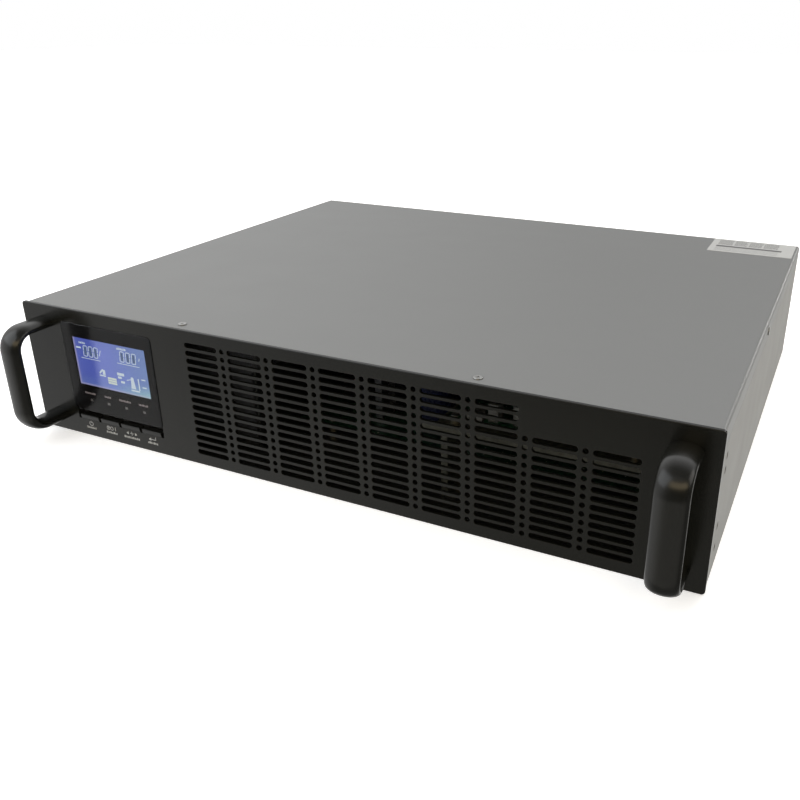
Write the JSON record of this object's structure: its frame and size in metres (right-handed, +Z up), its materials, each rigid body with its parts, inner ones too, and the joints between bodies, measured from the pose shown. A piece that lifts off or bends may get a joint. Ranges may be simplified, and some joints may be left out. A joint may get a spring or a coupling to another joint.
{
  "type": "uninterruptible power supply",
  "caption": "Flat rack-case backup power supply with a slotted black front, small lit display over four keys, D-shaped handles, and fans and sockets at the back.",
  "frame": {"origin": "centre of the case's underside", "axes": "+X to the right as seen from the front, +Y to the back, +Z up"},
  "size_m": [0.44, 0.4013, 0.088],
  "materials": {
    "panel_black": "satin black powder coat",
    "handle_black": "satin black anodised",
    "cover_grey": "fine-textured grey paint",
    "case_grey": "fine-textured grey paint",
    "zinc_steel": "zinc-plated sheet",
    "screw_steel": "zinc-plated fasteners",
    "label_white": "white sticker",
    "lens_clear": "clear acrylic window",
    "mask_black": "gloss black print",
    "bezel_black": "moulded black",
    "lcd_blue": "backlit display",
    "lamp_grey": "unlit lamp",
    "key_black": "moulded dark keys",
    "board_green": "solder mask",
    "part_dark": "moulded component",
    "part_pale": "pale component",
    "battery_case": "battery case",
    "lead_red": "insulated lead",
    "ribbon_grey": "ribbon cable",
    "sink_aluminium": "extruded heat sink",
    "ferrite": "ferrite and laminated core",
    "copper_wire": "enamelled copper",
    "capacitor_sleeve": "shrink sleeve",
    "fan_black": "moulded fan",
    "socket_black": "moulded socket",
    "pin_brass": "plated pins",
    "guard_chrome": "plated wire",
    "port_metal": "plated shell",
    "plug_green": "pluggable terminal"
  },
  "bodies": {
    "case": {"battery_front": "battery_case", "battery_leads": "lead_red", "battery_middle": "battery_case", "battery_rear": "battery_case", "battery_strap": "zinc_steel", "board_headers": "part_pale", "board_screws": "screw_steel", "breaker_body": "socket_black", "bulk_capacitors": "capacitor_sleeve", "case_screws": "screw_steel", "charger_board": "board_green", "charger_parts": "part_pale", "charger_shelf": "zinc_steel", "chassis_tray": "case_grey", "choke_cores": "ferrite", "choke_windings": "copper_wire", "control_board": "board_green", "data_ports": "port_metal", "display_bezel": "bezel_black", "display_board": "board_green", "display_lens": "lens_clear", "divider_wall": "zinc_steel", "fan_frames": "fan_black", "fan_guards": "guard_chrome", "fan_screws": "screw_steel", "front_panel": "panel_black", "front_rail": "zinc_steel", "handle_left": "handle_black", "handle_right": "handle_black", "handle_screws": "screw_steel", "heat_sinks": "sink_aluminium", "inlet_pins": "pin_brass", "lcd_panel": "lcd_blue", "lens_mask": "mask_black", "network_ports": "port_metal", "nuts": "screw_steel", "power_board": "board_green", "power_inlet": "socket_black", "power_outlets": "socket_black", "power_transistors": "part_dark", "rear_panel": "case_grey", "relays": "part_pale", "ribbon_cable": "ribbon_grey", "slot_cover": "case_grey", "standoffs": "pin_brass", "status_lamps": "lamp_grey", "studs": "screw_steel", "tact_switches": "part_dark", "top_cover": "cover_grey", "top_label": "label_white", "transformer_coil": "copper_wire", "transformer_core": "ferrite"},
    "power_on_key": {"power_on_key": "key_black"},
    "power_off_key": {"power_off_key": "key_black"},
    "scroll_key": {"scroll_key": "key_black"},
    "enter_key": {"enter_key": "key_black"},
    "fan_rotor_left": {"fan_rotor_left": "fan_black"},
    "fan_rotor_right": {"fan_rotor_right": "fan_black"},
    "breaker_button": {"breaker_button": "label_white"},
    "epo_plug": {"epo_plug": "plug_green"}
  },
  "joints": [
    {"name": "power_on_key_press", "type": "slide", "parent": "case", "child": "power_on_key", "axis": [0, 1, 0], "range_m": [0, 0.0008], "stiffness_N_per_m": 600},
    {"name": "power_off_key_press", "type": "slide", "parent": "case", "child": "power_off_key", "axis": [0, 1, 0], "range_m": [0, 0.0008], "stiffness_N_per_m": 600},
    {"name": "scroll_key_press", "type": "slide", "parent": "case", "child": "scroll_key", "axis": [0, 1, 0], "range_m": [0, 0.0008], "stiffness_N_per_m": 600},
    {"name": "enter_key_press", "type": "slide", "parent": "case", "child": "enter_key", "axis": [0, 1, 0], "range_m": [0, 0.0008], "stiffness_N_per_m": 600},
    {"name": "fan_rotor_left_spin", "type": "hinge", "parent": "case", "child": "fan_rotor_left", "pos_m": [0.06, 0.1637, 0.0436], "axis": [0, 1, 0], "continuous": true},
    {"name": "fan_rotor_right_spin", "type": "hinge", "parent": "case", "child": "fan_rotor_right", "pos_m": [0.15, 0.1637, 0.0436], "axis": [0, 1, 0], "continuous": true},
    {"name": "breaker_reset", "type": "slide", "parent": "case", "child": "breaker_button", "axis": [0, 1, 0], "range_m": [0, 0.003]},
    {"name": "epo_plug_pull", "type": "slide", "parent": "case", "child": "epo_plug", "axis": [0, 1, 0], "range_m": [0, 0.012]}
  ]
}
